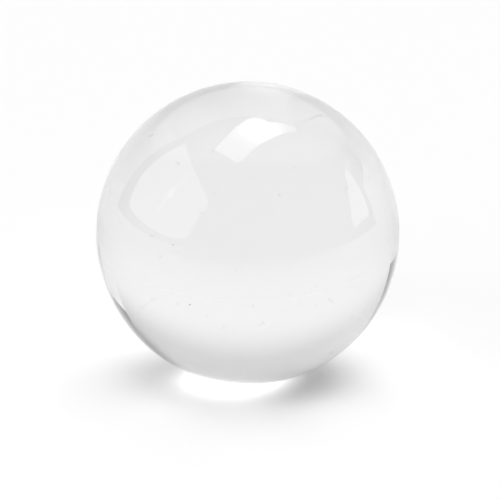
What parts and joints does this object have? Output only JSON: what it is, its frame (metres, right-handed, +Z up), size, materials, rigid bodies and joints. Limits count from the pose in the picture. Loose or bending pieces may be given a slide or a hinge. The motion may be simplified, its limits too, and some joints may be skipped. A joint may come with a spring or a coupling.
{
  "type": "cue ball",
  "caption": "Solid clear ball of polished cast resin, struck with the cue to play the other balls on a pool table.",
  "frame": {"origin": "the ball's centre", "axes": "+Z up, away from the point that the ball rests on; the ball is the same about every axis"},
  "size_m": [0.0572, 0.0572, 0.0572],
  "materials": {
    "clear_resin": "polished"
  },
  "bodies": {
    "root": {"ball": "clear_resin"}
  },
  "joints": []
}
